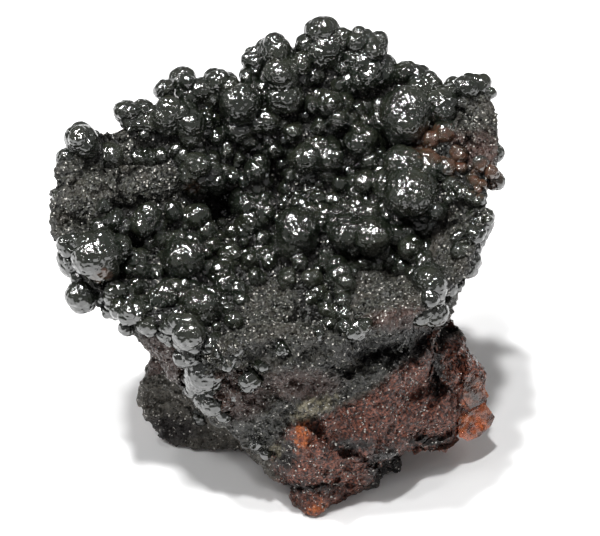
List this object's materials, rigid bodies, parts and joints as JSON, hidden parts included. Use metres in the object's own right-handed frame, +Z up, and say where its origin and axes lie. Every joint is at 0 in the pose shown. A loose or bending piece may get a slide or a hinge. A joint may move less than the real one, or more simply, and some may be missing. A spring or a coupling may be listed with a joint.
{
  "type": "mineral specimen",
  "caption": "Botryoidal goethite specimen: a near-black knobbly crust with a bowl-shaped top on a red-brown ironstone matrix, with orange crystals at one end.",
  "frame": {"origin": "middle of the bounding box, at the level that the specimen rests on", "axes": "+Z up; +X to the viewer's right and +Y away from the viewer, as the picture shows it; the front tip of the matrix points to -Y"},
  "size_m": [0.08, 0.0606, 0.0688],
  "materials": {
    "goethite": "glossy knobs, dull granular where broken",
    "ironstone": "dull granular",
    "orange_crystal": "translucent, glossy"
  },
  "bodies": {
    "root": {"goethite_crust": "goethite", "ironstone_matrix": "ironstone", "orange_crystals": "orange_crystal"}
  },
  "joints": []
}
